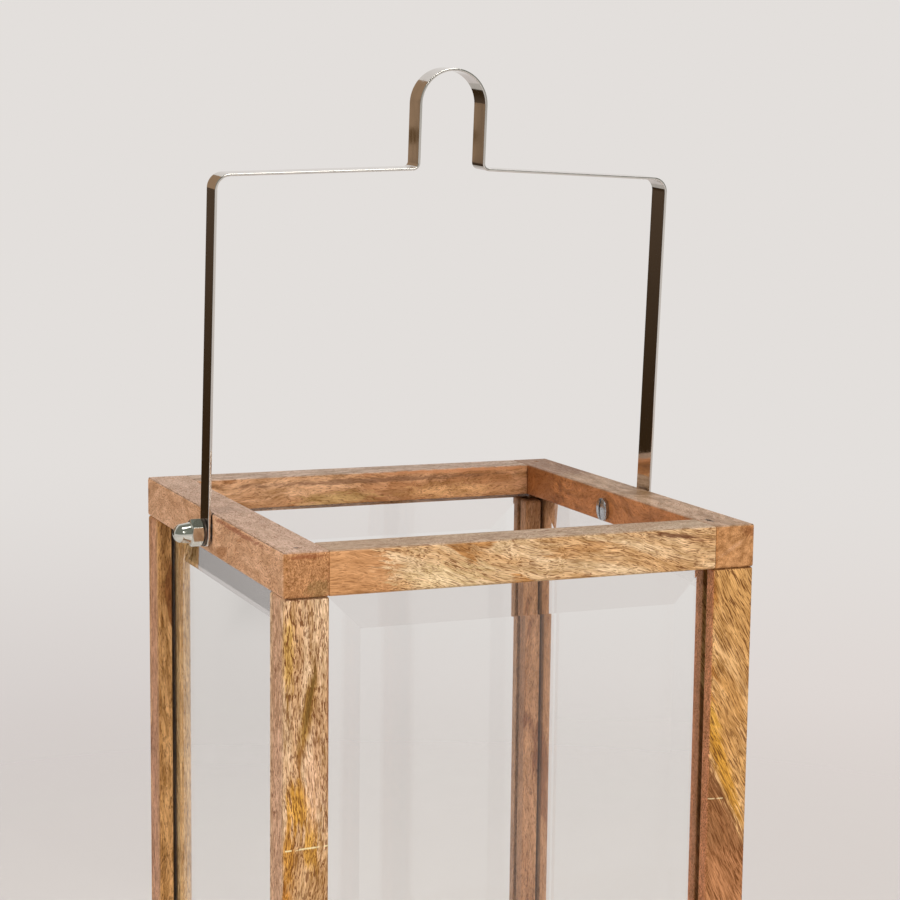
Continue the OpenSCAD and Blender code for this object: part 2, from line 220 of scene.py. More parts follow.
def mangoWood(name, look):
    # The grain runs along the texture's own Z. Pores and fibres are long thin forms, so that
    # they show as dashes along a board and as specks on its sawn end.
    look = {**plainBoard, **look}
    material, tree, shader = newMaterial(name)
    place = addNode(tree, "ShaderNodeTexCoord").outputs["Object"]
    turn = Euler(grainTurn[look["grain"]])
    turn.y += math.radians(look["slant"])
    local = addNode(
        tree, "ShaderNodeMapping",
        {"Vector": sweptPlace(tree, place, look["sweeps"]), "Rotation": turn,
         "Location": look["seed"]},
    ).outputs[0]
    bent = local
    for perMetre, detail, push in grainWaves:
        push *= look["wander"]
        wave = noise(tree, local, perMetre, detail, 0.5, "Color")
        wave = vector(tree, "SUBTRACT", wave, (0.5, 0.5, 0.5))
        bent = vector(tree, "MULTIPLY_ADD", wave, (push, push, 0.0), bent)

    def figure(across, along, detail=2.0, roughness=0.55):
        scale = (1 / across, 1 / across, 1 / along)
        return noise(tree, stretch(tree, bent, scale), 1.0, detail, roughness)

    # bands of colour, and heartwood with flamed edges
    bands = remap(tree, figure(*woodGrain["bands"]), *contrast["bands"])
    colour = mixColour(tree, bands, look["pale"], look["mid"])
    deepTo = look["deepFrom"] + contrast["cloudSpan"]
    clouds = remap(tree, figure(*woodGrain["clouds"]), look["deepFrom"], deepTo)
    flameNoise = figure(*woodGrain["flames"])
    flames = doMath(tree, "SUBTRACT", flameNoise, 0.5)
    clouds = doMath(tree, "MULTIPLY_ADD", flames, contrast["cloudFlames"], clouds)
    clouds = remap(tree, clouds, *contrast["cloudEdge"])
    colour = mixColour(tree, clouds, colour, look["deep"])
    calm = None    # the share of a patch where fibres and pores are weaker
    for patch in look["patches"]:
        share = patchShare(tree, place, patch, flames)
        colour = mixColour(tree, share, colour, patch["colour"])
        if "calm" in patch:
            calm = doMath(tree, "MULTIPLY", share, patch["calm"])

    # mottle, streaks and fine fibres: the dark ones are the warmer ones
    fibreNoise = figure(*look["fibreSize"])
    fibre = remap(tree, fibreNoise, *contrast["figure"], -1.0, 1.0)
    streak = remap(tree, flameNoise, *contrast["figure"], -1.0, 1.0)
    mottle = remap(tree, figure(*woodGrain["mottle"]), *contrast["figure"], -1.0, 1.0)
    light = doMath(tree, "MULTIPLY", fibre, look["fibre"])
    light = doMath(tree, "MULTIPLY_ADD", streak, look["streak"], light)
    light = doMath(tree, "MULTIPLY_ADD", mottle, look["mottle"], light)
    if calm:
        weaker = doMath(tree, "MULTIPLY_ADD", calm, -woodFinish["calming"], 1.0)
        light = doMath(tree, "MULTIPLY", light, weaker)

    # a fine speckle, strongest on the sawn ends
    normal = addNode(tree, "ShaderNodeNewGeometry").outputs["Normal"]
    along = addNode(tree, "ShaderNodeSeparateXYZ", {0: normal}).outputs["xyz".index(look["grain"])]
    sawnEnd = remap(tree, doMath(tree, "ABSOLUTE", along), *contrast["sawnEnd"])
    speckle = noise(tree, place, 1 / woodFinish["speckle"], 3.0, 0.65)
    speckle = remap(tree, speckle, *contrast["speckle"], -1.0, 1.0)
    amount = doMath(tree, "MULTIPLY_ADD", sawnEnd, look["endGrit"], look["grit"])
    light = doMath(tree, "MULTIPLY_ADD", speckle, amount, light)
    varied = vector(tree, "MULTIPLY_ADD", light, woodFinish["warmth"], (1.0, 1.0, 1.0))
    colour = vector(tree, "MULTIPLY", colour, varied)

    # open pores
    across, length = look["pores"]
    crowd = figure(across, length * poreShape["stretch"])
    crowd = doMath(tree, "MULTIPLY_ADD", flames, poreShape["flames"], crowd)
    dashes = remap(tree, crowd, look["poreFrom"], look["poreFrom"] + poreShape["span"])
    scale = (1 / across, 1 / across, 1 / length)
    cells = addNode(
        tree, "ShaderNodeTexVoronoi",
        {"Vector": stretch(tree, bent, scale), "Scale": 1.0, "Randomness": 1.0},
        feature="F1", voronoi_dimensions="3D",
    )
    pick = addNode(tree, "ShaderNodeSeparateColor", {"Color": cells.outputs["Color"]}).outputs
    radius = doMath(tree, "MULTIPLY_ADD", pick[0], poreShape["spread"], poreShape["radius"])
    inside = doMath(tree, "SUBTRACT", radius, cells.outputs["Distance"])
    chosen = doMath(tree, "LESS_THAN", pick[1], look["crispShare"])
    crisp = doMath(tree, "MULTIPLY", remap(tree, inside, *poreShape["edge"]), chosen)
    crispDark = min(look["poreDark"] * poreShape["crispDark"], poreShape["darkest"])
    dashDark = doMath(tree, "MULTIPLY_ADD", bands, poreShape["inBands"], poreShape["inPale"])
    dashDark = doMath(tree, "MULTIPLY", dashDark, look["poreDark"])
    poreShare = doMath(
        tree, "MAXIMUM",
        doMath(tree, "MULTIPLY", dashes, dashDark), doMath(tree, "MULTIPLY", crisp, crispDark),
    )
    if calm:
        poreShare = doMath(tree, "MULTIPLY", poreShare, doMath(tree, "SUBTRACT", 1.0, calm))
    colour = mixColour(tree, poreShare, colour, look["pore"])
    for patch in look["stains"]:
        colour = mixColour(tree, patchShare(tree, place, patch, flames), colour, patch["colour"])
    for mark in look["sawMarks"]:
        colour = mixColour(tree, sawMark(tree, place, mark), colour, mark["colour"])
    tree.links.new(colour, shader.inputs["Base Color"])

    # pores are rougher than the wood between them, and sunk a little
    pore = doMath(tree, "MAXIMUM", dashes, crisp)
    rough = doMath(
        tree, "MULTIPLY_ADD", fibreNoise, woodFinish["fibreRough"], woodFinish["roughness"]
    )
    rough = doMath(tree, "MULTIPLY_ADD", pore, woodFinish["poreRough"], rough)
    tree.links.new(rough, shader.inputs["Roughness"])
    relief = doMath(tree, "MULTIPLY", fibre, woodFinish["fibreRelief"])
    relief = doMath(tree, "MULTIPLY_ADD", pore, -1.0, relief)
    bump = addNode(
        tree, "ShaderNodeBump",
        {"Height": relief, "Distance": woodFinish["poreDepth"], "Strength": woodFinish["relief"]},
    ).outputs[0]
    tree.links.new(bump, shader.inputs["Normal"])
    shader.inputs["IOR"].default_value = woodFinish["ior"]
    shader.inputs["Specular IOR Level"].default_value = woodFinish["shine"]
    return material


def tones(pale, mid, deep, pore):
    return {
        "pale": hexColour(pale), "mid": hexColour(mid), "deep": hexColour(deep),
        "pore": hexColour(pore),
    }


frontGold = tones("D9B88E", "CA9D6B", "B07C46", "6C3C0E")
postGold = tones("D5B38D", "C4986C", "A5753E", "6C3A0C")
warmBrown = tones("D2A27C", "C29068", "AC784E", "744018")


def facePatch(at, beyond, colour, share=0.85, ragged=0.4, soft=0.6 * mm):
    # all that lies beyond a plane: a face or an end that shows another part of the log
    return {
        "at": at, "beyond": beyond, "soft": soft, "colour": hexColour(colour),
        "share": share, "ragged": ragged,
    }


def spot(at, size, colour, share=0.8, ragged=1.6, turn=0):
    # an ellipsoid with these half sizes, turned about Y by so many degrees
    return {
        "at": at, "size": size, "colour": hexColour(colour), "share": share,
        "ragged": ragged, "turn": turn,
    }


# the dark joint between the front posts and the top frame
jointShade = facePatch(
    (0.0, -0.0985, 0.28235), (0.0, -0.5, 1.0), "5A2E12", 0.7, 0.3, 0.35 * mm
)


def grooveShade(x, y, alongX):
    # painted shade inside the groove: the dark gap beside a pane
    size = (0.0026, 0.0062, 0.4) if alongX else (0.0062, 0.0026, 0.4)
    return {**spot((x, y, 0.15), size, "1C0F06", 0.95, 0.0), "core": 0.8}


def strapShade(x):
    # painted shade: the dark gap between the strap's front edge and the rail, drawn as a thin line
    # on the rail
    line = spot((x, -0.0054, 0.2938), (0.002, 0.0014, 0.0085), "241006", 0.9, 0.0)
    return {**line, "core": 0.7}


# painted sheen: the top faces take a greyer tone, as where they mirror the pale backdrop at a
# grazing angle
def paintedTopSheen(colour, share=0.75):
    return facePatch((0.0, 0.0, 0.2995), (0.0, 0.0, 1.0), colour, share)


boards = {
    "top_front_rail": {
        **frontGold, "grain": "x", "seed": (0.11, 0.32, 0.05), "wander": 0.7,
        "pores": (0.36 * mm, 4.6 * mm), "fibreSize": (0.26 * mm, 6.0 * mm),
        "fibre": 0.24, "streak": 0.22, "mottle": 0.16,
        "poreFrom": 0.545, "poreDark": 0.80, "crispShare": 0.35,
        "sweeps": (("x", -0.075, 0.035, "z", 0.026), ("x", 0.02, 0.085, "z", 0.012)),
        "patches": (
            {**facePatch((-0.056, -0.1, 0.291), (-1.0, 0.0, -0.45), "C58C5A", 0.9, 2.8, 0.018),
             "calm": 0.5},
            spot((-0.036, -0.1, 0.287), (0.024, 0.02, 0.007), "E0C394", 0.7, 2.6),
            spot((0.020, -0.1, 0.294), (0.022, 0.02, 0.003), "C18C56", 0.6, 2.6, 8),
            paintedTopSheen("AC947C", 0.8),
        ),
        "stains": (
            spot((0.066, -0.1, 0.2968), (0.014, 0.02, 0.0016), "5E2E16", 0.8, 3.4, -5),
            spot((0.074, -0.1, 0.2948), (0.008, 0.02, 0.0008), "7C4A2C", 0.6, 3.4, -5),
        ),
    },
    "top_back_rail": {
        **tones("CE9F76", "B8855A", "9C6A40", "5E3414"),
        "grain": "x", "seed": (0.57, 0.12, 0.25), "wander": 1.2,
        "pores": (0.6 * mm, 2.4 * mm), "poreFrom": 0.56, "poreDark": 0.5, "crispShare": 0.2,
        "fibre": 0.12, "streak": 0.16, "mottle": 0.26,
        "patches": (
            facePatch((0.0, 0.082, 0.29), (1.0, 0.0, 0.1), "A87248", 0.6, 3.0, 0.02),
            spot((0.040, 0.082, 0.2895), (0.034, 0.004, 0.0042), "D09C68", 0.75, 2.4),
            spot((-0.015, 0.082, 0.2885), (0.024, 0.004, 0.0036), "C4A268", 0.6, 2.4),
            paintedTopSheen("AC9684", 0.75),
        ),
        "stains": (
            spot((0.0, 0.082, 0.2962), (0.09, 0.003, 0.0016), "6E4A34", 0.6, 1.8),
            spot((0.045, 0.082, 0.2990), (0.05, 0.004, 0.0012), "CC8C60", 0.7, 1.6),
        ),
    },
    "top_left_rail": {
        **warmBrown, "grain": "y", "seed": (0.37, 0.62, 0.81), "poreDark": 0.6,
        "pores": (0.52 * mm, 2.4 * mm), "wander": 1.6, "fibre": 0.16, "deepFrom": 0.60,
        "endGrit": 0.30, "poreFrom": 0.56, "streak": 0.14, "mottle": 0.14,
        "patches": (
            facePatch((-0.09, -0.0990, 0.29), (0.0, -1.0, 0.0), "B07A4A", 0.85, 0.6),
            spot((-0.086, -0.1, 0.2860), (0.007, 0.003, 0.0045), "84663A", 0.6, 2.0),
            paintedTopSheen("B49A88", 0.6),
        ),
        "stains": (
            spot((-0.1, -0.045, 0.2982), (0.002, 0.045, 0.0014), "843C1C", 0.6, 1.8),
            spot((-0.091, -0.1, 0.2982), (0.009, 0.003, 0.0012), "8C4A28", 0.6, 1.6),
            spot((-0.0914, -0.0907, 0.2995), (0.0024, 0.0016, 0.003), "241206", 0.95, 0.3),
            strapShade(-0.1),
        ),
    },
    "top_right_rail": {
        **tones("CC9A70", "BA845A", "A66E44", "6E3C18"),
        "grain": "y", "seed": (0.93, 0.27, 0.44), "poreDark": 0.4, "fibre": 0.08,
        "streak": 0.16, "mottle": 0.28, "wander": 1.6, "crispShare": 0.2, "deepFrom": 0.60,
        "pores": (0.6 * mm, 2.4 * mm), "endGrit": 0.08,
        "patches": (
            facePatch((0.083, 0.0, 0.29), (-1.0, 0.0, 0.0), "A8642F", 0.85, 0.8),
            facePatch((0.09, -0.0990, 0.29), (0.0, -1.0, 0.0), "B8824E", 0.8, 0.9),
            spot((0.0975, -0.1, 0.2975), (0.005, 0.003, 0.003), "8A5228", 0.65, 2.4),
            spot((0.0890, -0.1, 0.2905), (0.008, 0.003, 0.0012), "CE9C72", 0.6, 2.8, 30),
            paintedTopSheen("A68B72", 0.78),
        ),
        "stains": (
            facePatch((0.082, 0.045, 0.29), (0.0, 1.0, -0.3), "6A3818", 0.5, 2.4, 0.03),
            # painted reflection: the rail's top darker beside the strap's leg, where it mirrors
            # the leg
            spot((0.0935, -0.0130, 0.3), (0.0110, 0.0100, 0.003), "7E5C38", 0.7, 0.6),
            spot((0.0863, -0.0863, 0.2995), (0.0014, 0.005, 0.003), "1C0E06", 0.95, 0.4),
            strapShade(0.1),
        ),
    },
    "base_front_rail": {**frontGold, "grain": "x", "seed": (0.71, 0.52, 0.35)},
    "base_back_rail": {**frontGold, "grain": "x", "seed": (0.19, 0.77, 0.62)},
    "base_left_rail": {**warmBrown, "grain": "y", "seed": (0.43, 0.15, 0.59), "poreDark": 0.45},
    "base_right_rail": {**warmBrown, "grain": "y", "seed": (0.87, 0.67, 0.11), "poreDark": 0.4},
    "post_front_left": {
        **postGold, "grain": "z", "seed": (0.25, 0.45, 0.65), "wander": 0.55,
        "pores": (0.46 * mm, 3.0 * mm), "fibreSize": (0.30 * mm, 4.0 * mm),
        "fibre": 0.34, "streak": 0.26, "mottle": 0.18,
        "poreFrom": 0.53, "poreDark": 0.84, "crispShare": 0.35, "deepFrom": 0.66,
        "patches": (
            spot((-0.0997, -0.091, 0.15), (0.0012, 0.009, 0.4), "CA9B79", 0.85, 0.4),
            spot((-0.0978, -0.1, 0.262), (0.0030, 0.004, 0.021), "CFA255"),
            spot((-0.0905, -0.1, 0.238), (0.0034, 0.004, 0.0260), "9A702E", 0.95, 0.9, -9),
            spot((-0.0910, -0.1, 0.1750), (0.0130, 0.004, 0.0280), "BC8A50", 0.5, 1.0),
            spot((-0.0937, -0.1, 0.2025), (0.0066, 0.004, 0.0130), "CE9434", 0.92, 2.0, 6),
            spot((-0.0889, -0.1, 0.1865), (0.0040, 0.004, 0.0125), "D0983A", 0.88, 1.8),
            spot((-0.0976, -0.1, 0.1840), (0.0032, 0.004, 0.0170), "C68A34", 0.88, 1.8),
            spot((-0.0992, -0.1, 0.1670), (0.0030, 0.004, 0.0085), "C07C20", 0.85, 1.8),
            spot((-0.0880, -0.1, 0.2130), (0.0050, 0.004, 0.0260), "D2A27C", 0.6, 2.0),
        ),
        "stains": (
            spot((-0.0896, -0.1, 0.2430), (0.0012, 0.004, 0.0190), "684812", 0.75, 1.2, -10),
            spot((-0.0930, -0.1, 0.2230), (0.0010, 0.004, 0.0085), "8A5218", 0.55, 2.4, -8),
            spot((-0.0946, -0.1, 0.2666), (0.0007, 0.004, 0.0009), "5A3A20", 0.8, 0.3),
            spot((-0.0818, -0.1, 0.2400), (0.0011, 0.004, 0.0500), "8E5430", 0.7, 0.8),
            jointShade, grooveShade(-0.0868, -0.0914, False), grooveShade(-0.0914, -0.0868, True),
        ),
        "sawMarks": (
            {"x": -0.091, "z": 0.1863, "slope": 0.025, "width": 0.00046, "reach": 0.0105,
             "colour": hexColour("F0E0AE"), "share": 0.85},
        ),
    },
    "post_front_right": {
        **tones("D4A66F", "C59356", "AA7236", "643406"),
        "grain": "z", "slant": 30, "seed": (0.65, 0.85, 0.15), "wander": 0.4,
        "pores": (0.50 * mm, 6.5 * mm), "fibreSize": (0.36 * mm, 7.5 * mm),
        "fibre": 0.30, "streak": 0.22, "mottle": 0.16,
        "poreFrom": 0.545, "poreDark": 0.80, "crispShare": 0.25,
        "patches": (
            spot((0.0900, -0.1, 0.222), (0.0120, 0.004, 0.028), "BC8646", 0.6, 1.8),
            spot((0.0815, -0.1, 0.222), (0.0045, 0.004, 0.016), "D6A040", 0.8, 1.8, 20),
            spot((0.0888, -0.1, 0.1985), (0.0044, 0.004, 0.031), "C68C2C", 0.9, 1.4, 20),
            facePatch((0.0878, -0.1, 0.1894), (-1.0, 1.5, -0.5), "8C5A34", 0.92, 2.0, 0.003),
            facePatch((0.0880, -0.1, 0.166), (-0.3, 0.6, -1.0), "B47A4E", 0.8, 2.4, 0.006),
            facePatch((0.0820, -0.09, 0.15), (-1.0, 0.0, 0.0), "C8845A", 0.9, 0.4),
        ),
        "stains": (
            # painted shade beside the pane's edge on the post's inner face
            spot((0.0820, -0.0880, 0.15), (0.0020, 0.0042, 0.4), "5E4A30", 0.3, 0.2),
            jointShade, grooveShade(0.0868, -0.0914, False), grooveShade(0.0914, -0.0868, True),
        ),
        "sawMarks": (
            {"x": 0.0848, "z": 0.187, "slope": -0.05, "width": 0.00035, "reach": 0.0042,
             "colour": hexColour("EBD6A4"), "share": 0.75},
        ),
    },
    "post_back_left": {
        **tones("C6945E", "AE7C46", "8C582C", "522A08"), "streak": 0.34, "mottle": 0.20,
        "grain": "z", "seed": (0.15, 0.25, 0.95), "wander": 0.5, "poreFrom": 0.55,
        "pores": (0.55 * mm, 3.0 * mm),
        "patches": (
            spot((-0.0997, 0.091, 0.15), (0.0012, 0.009, 0.4), "B98464", 0.85, 0.4),
            spot((-0.0860, 0.082, 0.15), (0.0056, 0.004, 0.4), "D2AE7E", 0.85, 0.5),
        ),
        "stains": (
            grooveShade(-0.0868, 0.0914, False),
            grooveShade(-0.0914, 0.0868, True),
        ),
    },
    "post_back_right": {
        **tones("BF8C64", "A8744C", "8C5836", "542C14"),
        "grain": "z", "seed": (0.85, 0.55, 0.75), "wander": 0.5, "poreDark": 0.5,
        "pores": (0.55 * mm, 3.0 * mm),
        "stains": (grooveShade(0.0868, 0.0914, False), grooveShade(0.0914, 0.0868, True)),
    },
    "floor_board": {
        **frontGold, "grain": "x", "seed": (0.33, 0.91, 0.47), "poreDark": 0.5, "wander": 0.4,
        "deepFrom": 0.60, "streak": 0.20, "mid": hexColour("D2A876"),
    },
}

woodEdge = {"width": 0.5 * mm, "segments": 3}
dowelEdge = {"width": 0.1 * mm, "segments": 2}
cadPoints = {"joinWithin": 0.002 * mm, "flatWithin": math.radians(0.5)}


def dressNode(node, material, edge):
    # CAD nodes keep their place and points: only finish, shading and eased edges are added.
    board = cadNodes[node]
    board.data.materials.clear()
    board.data.materials.append(material)
    bpy.context.view_layer.objects.active = board
    if board.data.has_custom_normals:
        board.data.attributes.remove(board.data.attributes["custom_normal"])
    board.data.shade_smooth()
    weld = board.modifiers.new("joinCorners", "WELD")
    weld.merge_threshold = cadPoints["joinWithin"]
    flat = board.modifiers.new("joinFlats", "DECIMATE")
    flat.decimate_type = "DISSOLVE"
    flat.angle_limit = cadPoints["flatWithin"]
    ease = board.modifiers.new("easeEdges", "BEVEL")
    ease.limit_method = "ANGLE"
    ease.angle_limit = math.radians(edge.get("angle", 30))
    ease.width = edge["width"]
    ease.segments = edge["segments"]
    ease.use_clamp_overlap = False
    ease.harden_normals = True


for node, look in boards.items():
    dressNode(node, mangoWood("mangoWood_" + node, look), woodEdge)
print("stage: wood dressed,", len(boards), "boards")

dowelWood = mangoWood("beechDowel", {
    **tones("DDBE92", "D2AE7E", "C39C6A", "A47F50"),
    "grain": "x", "seed": (0.5, 0.2, 0.9), "poreDark": 0.4,
})
for node in ("top_dowels", "base_dowels"):
    dressNode(node, dowelWood, dowelEdge)


paneGlass = {
    "ior": 1.52, "tint": (0.992, 1.0, 0.998),
    "passed": (0.94, 0.95, 0.945),       # the lamps' light behind a pane
    "edge": {"width": 0.12 * mm, "segments": 1, "angle": 3},
}


def bevelledGlass():
    material, tree, shader = newMaterial("bevelledGlass")
    shader.inputs["Base Color"].default_value = (*paneGlass["tint"], 1.0)
    shader.inputs["Roughness"].default_value = 0.0
    shader.inputs["IOR"].default_value = paneGlass["ior"]
    shader.inputs["Transmission Weight"].default_value = 1.0
    # lamps shine through the panes without dark shadows
    clear = addNode(tree, "ShaderNodeBsdfTransparent", {"Color": (*paneGlass["passed"], 1.0)})
    path = addNode(tree, "ShaderNodeLightPath")
    either = addNode(
        tree, "ShaderNodeMixShader",
        {0: path.outputs["Is Shadow Ray"], 1: shader.outputs[0], 2: clear.outputs[0]},
    )
    tree.links.new(either.outputs[0], tree.nodes["Material Output"].inputs["Surface"])
    return material


glassMaterial = bevelledGlass()
for node in ("front_glass", "back_glass", "left_glass", "right_glass"):
    dressNode(node, glassMaterial, paneGlass["edge"])
print("stage: panes dressed")


# Roughness where each metal is clean, and what its smudges add to that. A metre holds so many
# smudges along each axis.
metals = {
    "polishedStrap": {
        "colour": (0.72, 0.69, 0.65), "clean": 0.04, "smudged": 0.06,
        "perMetre": (220, 220, 60), "rippleDepth": 0.03 * mm,
    },
    "brightZinc": {
        "colour": (0.50, 0.52, 0.55), "clean": 0.16, "smudged": 0.08,
        "perMetre": (260, 260, 260), "rippleDepth": 0.01 * mm,
    },
    "brightNut": {
        "colour": (0.72, 0.73, 0.67), "clean": 0.06, "smudged": 0.08,
        "perMetre": (400, 400, 400), "rippleDepth": 0.03 * mm,
    },
    # dark washers; their dark colour also paints the shade between nut and strap
    "darkWasherShade": {
        "colour": (0.16, 0.13, 0.11), "clean": 0.30, "smudged": 0.14,
        "perMetre": (500, 500, 500), "rippleDepth": 0.03 * mm,
    },
    "darkNail": {
        "colour": (0.16, 0.14, 0.13), "clean": 0.45, "smudged": 0.20,
        "perMetre": (900, 900, 900), "rippleDepth": 0.03 * mm,
    },
}
metalWear = {
    "rougher": (0.3, 0.75), "duller": (0.3, 0.8), "dullest": 0.9,   # where smudges show
    "ripples": 0.35, "relief": 0.25,
}


def brightMetal(name, metal):
    material, tree, shader = newMaterial(name)
    place = addNode(tree, "ShaderNodeTexCoord").outputs["Object"]
    place = stretch(tree, place, metal["perMetre"])
    smudge = noise(tree, place, 1.0, 4.0, 0.6)
    dirty = metal["clean"] + metal["smudged"]
    rough = remap(tree, smudge, *metalWear["rougher"], metal["clean"], dirty)
    tree.links.new(rough, shader.inputs["Roughness"])
    shade = remap(tree, smudge, *metalWear["duller"], 1.0, metalWear["dullest"])
    tone = addNode(
        tree, "ShaderNodeVectorMath", {0: metal["colour"], "Scale": shade}, operation="SCALE"
    )
    tree.links.new(tone.outputs[0], shader.inputs["Base Color"])
    shader.inputs["Metallic"].default_value = 1.0
    bump = addNode(
        tree, "ShaderNodeBump",
        {"Height": noise(tree, place, metalWear["ripples"], 2.0),
         "Distance": metal["rippleDepth"], "Strength": metalWear["relief"]},
    ).outputs[0]
    tree.links.new(bump, shader.inputs["Normal"])
    return material


metalMaterials = {name: brightMetal(name, metal) for name, metal in metals.items()}
fittings = (
    ("brightZinc", {"width": 0.15 * mm, "segments": 2, "angle": 20},
     ("left_pivot_bolt", "right_pivot_bolt")),
    ("brightZinc", {"width": 0.12 * mm, "segments": 3}, ("left_spacer", "right_spacer")),
    ("darkWasherShade", {"width": 0.12 * mm, "segments": 3}, ("left_nut_washer", "right_nut_washer")),
    ("darkNail", {"width": 0.08 * mm, "segments": 2}, ("top_nails", "base_nails", "floor_screws")),
)
for metal, edge, nodes in fittings:
    for node in nodes:
        dressNode(node, metalMaterials[metal], edge)
print("stage: bolts, spacers, washers, nails and screws dressed")


weldWithin = 0.0005 * mm


def meshPiece(name, points, faces, material, body, node):
    # A new piece that stands for a CAD node and moves with that node's body.
    mesh = bpy.data.meshes.new(name)
    mesh.from_pydata(points, [], faces)
    mesh.validate()
    bm = bmesh.new()
    bm.from_mesh(mesh)
    bmesh.ops.remove_doubles(bm, verts=bm.verts, dist=weldWithin)
    bmesh.ops.recalc_face_normals(bm, faces=bm.faces)
    bm.to_mesh(mesh)
    bm.free()
    mesh.materials.append(material)
    mesh.shade_smooth()
    piece = bpy.data.objects.new(name, mesh)
    bpy.context.scene.collection.objects.link(piece)
    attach(piece, body)
    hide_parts(node)
    return piece


strap = {
    "width": 12.0 * mm, "thick": 1.0 * mm, "corner": 0.2 * mm,
    "halfSpan": 101.25 * mm,      # pivot's middle plane to the strap's middle
    "leanIn": 0.68 * mm,
    "runEnd": 147.0 * mm, "runRise": 3.3 * mm,
    "loopTop": 191.0 * mm, "loopWidth": 30.0 * mm,
    "cornerBend": 5.5 * mm, "footBend": 2.0 * mm,
    "pivot": 291.3 * mm, "lean": math.radians(3.9),
    "hole": 3.06 * mm,
}

# How finely the strap is built: steps round each bend, and rings at shares of its straights
strapSteps = {
    "foot": 12, "corner": 18, "loopFoot": 12, "arch": 24, "edge": 3, "hole": 64,
    "leg": (0.03, 0.06, 0.12, 0.24, 0.36, 0.48, 0.6, 0.72, 0.84), "run": (0.25, 0.5, 0.75),
    "footTip": 0.02 * mm, "tipRound": 0.9,     # half width of the foot's end, and its rounding
    "drillLength": 0.22, "sharpFrom": math.radians(50),
}


def unit(angle):
    return Vector((math.cos(angle), math.sin(angle)))


def bendPoints(corner, start, end, radius, steps):
    # points of a rounded corner in the strap's middle line, with their headings
    turn = end - start
    side = math.copysign(1.0, turn)
    middle = corner + side * radius / math.cos(turn / 2) * unit((start + end) / 2 + math.pi / 2)
    headings = [start + turn * i / steps for i in range(steps + 1)]
    return [(middle - side * radius * unit(h + math.pi / 2), h) for h in headings]


def strapLine():
    half, steps = strap["thick"] / 2, strapSteps
    legTop = Vector((strap["leanIn"] - strap["halfSpan"], strap["runEnd"] - half))
    loopFoot = Vector((half - strap["loopWidth"] / 2, strap["runEnd"] + strap["runRise"] - half))
    loopCorner = Vector((loopFoot.x, strap["loopTop"] - half))
    legAngle = math.atan2(legTop.y, strap["leanIn"])
    runAngle = math.atan2(loopFoot.y - legTop.y, loopFoot.x - legTop.x)

    def onLeg(rise):
        return legTop + rise / math.sin(legAngle) * unit(legAngle), legAngle

    line = []
    for i in range(steps["foot"] + 1):    # the rounded foot, then up the leg
        slide = -strap["width"] / 2 * math.cos(math.pi / 2 * i / steps["foot"])
        line.append(onLeg(slide - legTop.y))
    line += [onLeg((share - 1) * legTop.y) for share in steps["leg"]]
    bend = strap["cornerBend"] + half
    corner = bendPoints(legTop, legAngle, runAngle, bend, steps["corner"])
    bend = strap["footBend"] + half
    foot = bendPoints(loopFoot, runAngle, math.pi / 2, bend, steps["loopFoot"])
    arch = bendPoints(loopCorner, math.pi / 2, 0.0, -loopFoot.x, steps["arch"])
    run = [(corner[-1][0].lerp(foot[0][0], share), runAngle) for share in steps["run"]]
    loopSide = (foot[-1][0].lerp(arch[0][0], 0.5), math.pi / 2)
    line += [*corner, *run, *foot, loopSide, *arch]
    mirrored = [(Vector((-p.x, p.y)), -h) for p, h in reversed(line[:-1])]
    return line + mirrored


def strapSection(reach):
    # the section's corners are rounded, and its points go round in one direction
    half, wide, corner = strap["thick"] / 2, strap["width"] / 2, strap["corner"]
    soft = min(corner, reach * strapSteps["tipRound"])
    ring = []
    for sideAcross, sideOut in ((1, 1), (-1, 1), (-1, -1), (1, -1)):
        for k in range(strapSteps["edge"] + 1):
            a = math.pi / 2 * k / strapSteps["edge"]
            across = sideAcross * (reach - soft + soft * math.cos(a))
            out = sideOut * (half - corner + corner * math.sin(a))
            ring.append((across, out))
    return sorted(ring, key=lambda q: math.atan2(q[1] * wide / half, q[0] * (wide / reach)))


def strapHandle():
    line = strapLine()
    tilt = Matrix.Rotation(strap["lean"], 3, "X")
    lift = Vector((0, 0, strap["pivot"]))
    points, faces = [], []
    for i, (place, heading) in enumerate(line):
        fromEnd = min(i, len(line) - 1 - i, strapSteps["foot"])
        reach = strap["width"] / 2 * math.sin(math.pi / 2 * fromEnd / strapSteps["foot"])
        ring = strapSection(max(reach, strapSteps["footTip"]))
        normal = unit(heading + math.pi / 2)
        for across, out in ring:
            flat = place + normal * out
            points.append(tilt @ Vector((flat.x, across, flat.y)) + lift)
    rows, section = len(line), len(ring)
    for i in range(rows - 1):
        for k in range(section):
            a, b = i * section + k, i * section + (k + 1) % section
            faces.append((a, b, b + section, a + section))
    faces.append(tuple(range(section)))
    faces.append(tuple((rows - 1) * section + k for k in range(section - 1, -1, -1)))
    return meshPiece(
        "strapHandle", points, faces, metalMaterials["polishedStrap"],
        "handle", "handle",
    )


